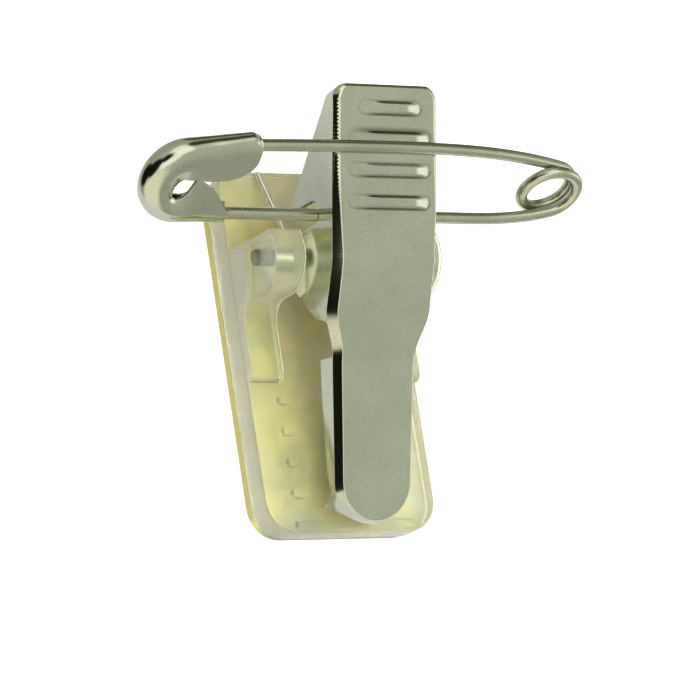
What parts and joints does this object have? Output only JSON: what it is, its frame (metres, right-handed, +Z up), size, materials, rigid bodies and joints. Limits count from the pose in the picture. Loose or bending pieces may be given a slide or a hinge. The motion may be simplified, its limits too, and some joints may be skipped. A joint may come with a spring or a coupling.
{
  "type": "combination badge clip",
  "caption": "Sprung metal badge clip and safety pin on a clear plastic base with an adhesive pad.",
  "frame": {"origin": "middle of the back of the adhesive pad, which is the face that is stuck on", "axes": "+X along the pivot pin, +Y towards the thumb end, +Z up out of the base"},
  "size_m": [0.0321, 0.0258, 0.0132],
  "materials": {
    "plastic": "pale yellow-green, translucent, glossy",
    "foam": "adhesive foam",
    "plated_sheet": "satin nickel plate",
    "plated_wire": "bright nickel plate",
    "spring_wire": "bright steel"
  },
  "bodies": {
    "base": {"base": "plastic", "adhesive_pad": "foam", "pivot_pin": "plated_wire", "torsion_spring": "spring_wire"},
    "lever": {"lever": "plated_sheet"},
    "safety_pin": {"pin_wire": "plated_wire", "pin_cap": "plated_sheet"}
  },
  "joints": [
    {"name": "lever_press", "type": "hinge", "parent": "base", "child": "lever", "pos_m": [0, 0.0052, 0.00507], "axis": [-1, 0, 0], "range_deg": [0, 35], "stiffness_Nm_per_rad": 0.05, "springref_deg": -34.38, "deforming": ["torsion_spring"]},
    {"name": "pin_swing", "type": "hinge", "parent": "lever", "child": "safety_pin", "pos_m": [0, 0.00687, 0.00866], "axis": [1, 0, 0], "range_deg": [0, 112]}
  ]
}
